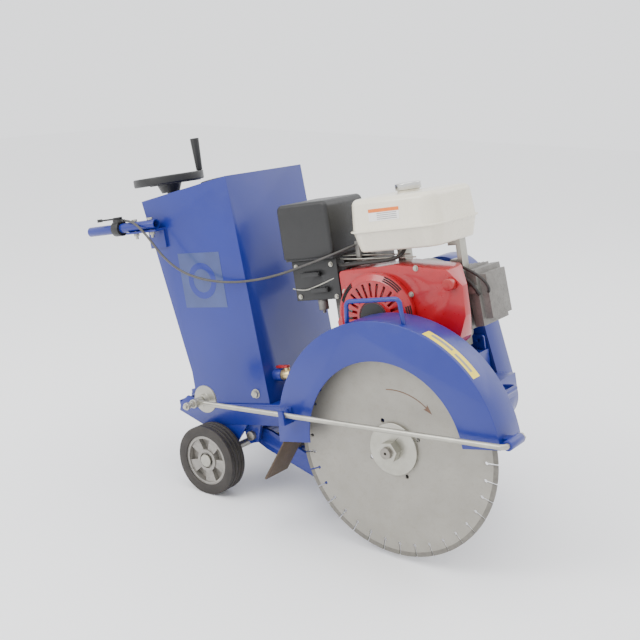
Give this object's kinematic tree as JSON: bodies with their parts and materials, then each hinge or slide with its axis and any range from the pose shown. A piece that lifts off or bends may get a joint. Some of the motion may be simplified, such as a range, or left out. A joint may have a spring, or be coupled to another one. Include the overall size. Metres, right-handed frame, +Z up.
{
  "type": "walk-behind concrete saw",
  "caption": "Walk-behind floor saw: diamond blade under a hinged-pointer guard, petrol engine with belt drive, slanted water tank, wheels and a hand-cranked depth lift",
  "frame": {"origin": "centre of the footprint box, on the ground", "axes": "+X is the front of the saw, where the blade is; +Y is the belt side, away from the blade; +Z is up"},
  "size_m": [1.3096, 0.588, 0.8749],
  "materials": {
    "blue_paint": "gloss blue enamel on steel",
    "zinc": "pale zinc plate",
    "wheel_aluminium": "cast, as cast",
    "tyre_rubber": "solid dark rubber",
    "cast_iron": "as cast",
    "steel": "turned",
    "blade_steel": "ground, matt",
    "segment_metal": "sintered, rough",
    "black_plastic": "fine grain",
    "brass": "turned",
    "red_plastic": "smooth",
    "rubber": "matt",
    "engine_casting": "die cast, matt",
    "red_paint": "gloss red enamel",
    "cream_paint": "gloss cream enamel",
    "chrome": "bright",
    "filter_foam": "open foam",
    "muffler_steel": "heat dulled"
  },
  "bodies": {
    "chassis": {"chassis_frame": "blue_paint", "deck_plate": "blue_paint", "rear_axle": "zinc", "pivot_shaft": "steel", "screw_brackets": "blue_paint", "water_tank": "blue_paint", "frame_bolts": "zinc", "ball_valve_body": "brass", "water_hose": "rubber", "handlebars": "blue_paint", "throttle_clamp": "black_plastic", "throttle_cable": "black_plastic", "spindle_bearings": "cast_iron", "blade_guard": "blue_paint", "guard_fittings": "blue_paint", "mud_flap": "rubber", "belt_guard": "blue_paint", "drive_belts": "rubber", "engine_base": "blue_paint", "engine_fixings": "zinc", "crankcase": "engine_casting", "cylinder": "engine_casting", "fan_shroud": "red_paint", "recoil_cover": "red_paint", "fuel_tank": "cream_paint", "air_cleaner_cover": "black_plastic", "air_filter": "filter_foam", "carburettor": "engine_casting", "control_panel": "black_plastic", "muffler": "muffler_steel"},
    "rear_wheel_right": {"rear_hub_right": "wheel_aluminium", "rear_tyre_right": "tyre_rubber"},
    "rear_wheel_left": {"rear_hub_left": "wheel_aluminium", "rear_tyre_left": "tyre_rubber"},
    "lift_arm": {"swing_arm": "blue_paint", "front_axle": "steel"},
    "front_wheel_right": {"front_wheel_right": "cast_iron"},
    "front_wheel_left": {"front_wheel_left": "cast_iron"},
    "depth_wheel": {"handwheel": "black_plastic", "lead_screw": "steel"},
    "crank_handle": {"crank_grip": "black_plastic"},
    "lift_nut": {"screw_nut": "steel"},
    "blade_spindle": {"spindle": "steel", "blade_clamp": "zinc", "blade_core": "blade_steel", "diamond_segments": "segment_metal", "spindle_pulley": "cast_iron"},
    "engine_crank": {"crankshaft": "steel", "engine_pulley": "cast_iron"},
    "pointer": {"pointer_rod": "zinc", "pointer_fasteners": "zinc"},
    "guide_wheel": {"pointer_wheel": "zinc"},
    "throttle": {"throttle_lever": "black_plastic"},
    "valve_handle": {"ball_valve_lever": "red_plastic"},
    "choke": {"choke_lever": "black_plastic"},
    "fuel_tap": {"fuel_valve_lever": "black_plastic"},
    "switch": {"engine_switch": "red_plastic"},
    "fuel_filler": {"fuel_cap": "chrome"},
    "water_filler": {"tank_filler_cap": "black_plastic"},
    "starter": {"recoil_grip": "black_plastic"}
  },
  "joints": [
    {"name": "rear_wheel_right_spin", "type": "hinge", "parent": "chassis", "child": "rear_wheel_right", "pos_m": [-0.22941, -0.133, 0.0901], "axis": [0, 1, 0], "continuous": true},
    {"name": "rear_wheel_left_spin", "type": "hinge", "parent": "chassis", "child": "rear_wheel_left", "pos_m": [-0.22941, 0.248, 0.0901], "axis": [0, 1, 0], "continuous": true},
    {"name": "depth_wheel_turn", "type": "hinge", "parent": "chassis", "child": "depth_wheel", "pos_m": [-0.52661, 0.0575, 0.75366], "axis": [0.1874, 0, -0.9823], "range_deg": [0, 8509.06]},
    {"name": "lift_nut_slide", "type": "slide", "parent": "chassis", "child": "lift_nut", "axis": [0.1874, 0, -0.9823], "range_m": [0, 0.11818]},
    {"name": "lift_arm_swing", "type": "hinge", "parent": "chassis", "child": "lift_arm", "pos_m": [-0.13043, 0.0575, 0.16039], "axis": [0, -1, 0], "range_deg": [0, 24]},
    {"name": "front_wheel_right_spin", "type": "hinge", "parent": "lift_arm", "child": "front_wheel_right", "pos_m": [0.20873, -0.0225, 0.0625], "axis": [0, 1, 0], "continuous": true},
    {"name": "front_wheel_left_spin", "type": "hinge", "parent": "lift_arm", "child": "front_wheel_left", "pos_m": [0.20873, 0.1375, 0.0625], "axis": [0, 1, 0], "continuous": true},
    {"name": "crank_handle_spin", "type": "hinge", "parent": "depth_wheel", "child": "crank_handle", "pos_m": [-0.47646, 0.11756, 0.81922], "axis": [-0.1874, 0, 0.9823], "continuous": true},
    {"name": "blade_spin", "type": "hinge", "parent": "chassis", "child": "blade_spindle", "pos_m": [0.34865, -0.1782, 0.264], "axis": [0, 1, 0], "continuous": true},
    {"name": "engine_crank_spin", "type": "hinge", "parent": "chassis", "child": "engine_crank", "pos_m": [0.23645, 0.12, 0.52662], "axis": [0, 1, 0], "continuous": true},
    {"name": "pointer_swing", "type": "hinge", "parent": "chassis", "child": "pointer", "pos_m": [0.64384, -0.21, 0.35492], "axis": [0, 1, 0], "range_deg": [0, 205]},
    {"name": "guide_wheel_spin", "type": "hinge", "parent": "pointer", "child": "guide_wheel", "pos_m": [-0.16854, -0.218, 0.28547], "axis": [0, 1, 0], "continuous": true},
    {"name": "throttle_lever_turn", "type": "hinge", "parent": "chassis", "child": "throttle", "pos_m": [-0.54652, -0.12, 0.67657], "axis": [-0.1874, 0, 0.9823], "range_deg": [0, 45]},
    {"name": "valve_handle_turn", "type": "hinge", "parent": "chassis", "child": "valve_handle", "pos_m": [-0.04883, -0.05, 0.348], "axis": [-0.1874, 0, 0.9823], "range_deg": [0, 90]},
    {"name": "choke_lever_turn", "type": "hinge", "parent": "chassis", "child": "choke", "pos_m": [0.06648, -0.07, 0.6011], "axis": [0, 1, 0], "range_deg": [0, 30]},
    {"name": "fuel_tap_turn", "type": "hinge", "parent": "chassis", "child": "fuel_tap", "pos_m": [0.09128, -0.07, 0.56714], "axis": [0, 1, 0], "range_deg": [0, 25]},
    {"name": "engine_switch_turn", "type": "hinge", "parent": "chassis", "child": "switch", "pos_m": [0.41932, -0.085, 0.62463], "axis": [0, 1, 0], "range_deg": [0, 90]},
    {"name": "fuel_cap_turn", "type": "hinge", "parent": "chassis", "child": "fuel_filler", "pos_m": [0.24858, 0.02, 0.80992], "axis": [-0.1874, 0, 0.9823], "range_deg": [0, 90]},
    {"name": "water_cap_turn", "type": "hinge", "parent": "chassis", "child": "water_filler", "pos_m": [-0.35755, 0.0575, 0.76397], "axis": [-0.2947, 0, 0.9556], "range_deg": [0, 180]},
    {"name": "starter_pull", "type": "slide", "parent": "chassis", "child": "starter", "axis": [0.7337, 0, 0.6794], "range_m": [0, 0.45], "stiffness_N_per_m": 60, "springref_m": -0.1}
  ],
  "couplings": [
    {"joint": "lift_nut_slide", "follows": "depth_wheel_turn", "m_per_rad": 0.00079577},
    {"joint": "lift_arm_swing", "follows": "depth_wheel_turn", "ratio": 0.0028205},
    {"joint": "engine_crank_spin", "follows": "blade_spin", "ratio": 1.2358}
  ]
}
